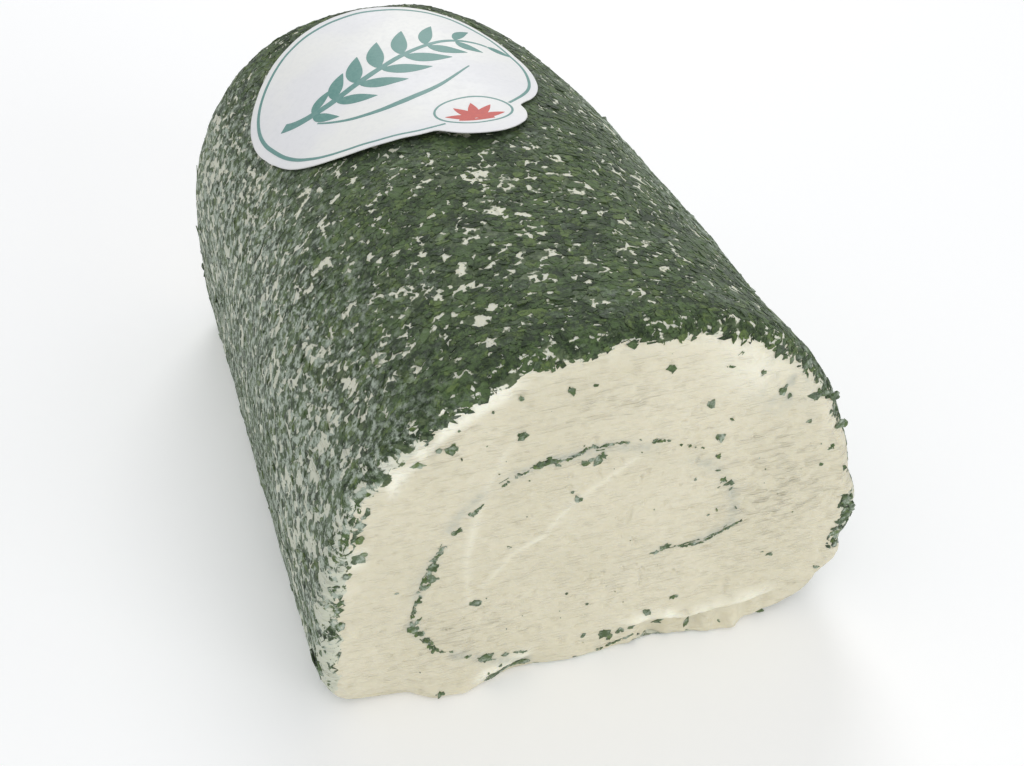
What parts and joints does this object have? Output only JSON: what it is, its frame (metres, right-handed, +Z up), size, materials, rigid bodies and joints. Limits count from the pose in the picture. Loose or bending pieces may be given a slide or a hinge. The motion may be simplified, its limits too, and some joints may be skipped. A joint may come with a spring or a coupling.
{
  "type": "herb cheese roll",
  "caption": "Thick roll of soft white cheese in a coat of chopped herbs, cut across at one end, with a rolled-in herb layer and a paper label on top.",
  "frame": {"origin": "under the middle of the roll, on the surface that it lies on", "axes": "+Z up, +Y along the roll from the cut face to the heel, +X to the right as seen from the cut face"},
  "size_m": [0.1152, 0.1378, 0.0814],
  "materials": {
    "cheese": "moist soft cheese, cream white, faint knife marks on the cut; the sides carry chopped herbs",
    "herb": "chopped dried chives and parsley, dull dark green",
    "label_paper": "smooth white paper with a thin green border"
  },
  "bodies": {
    "root": {"cheese_roll": "cheese", "herb_swirl": "herb", "label": "label_paper"}
  },
  "joints": []
}
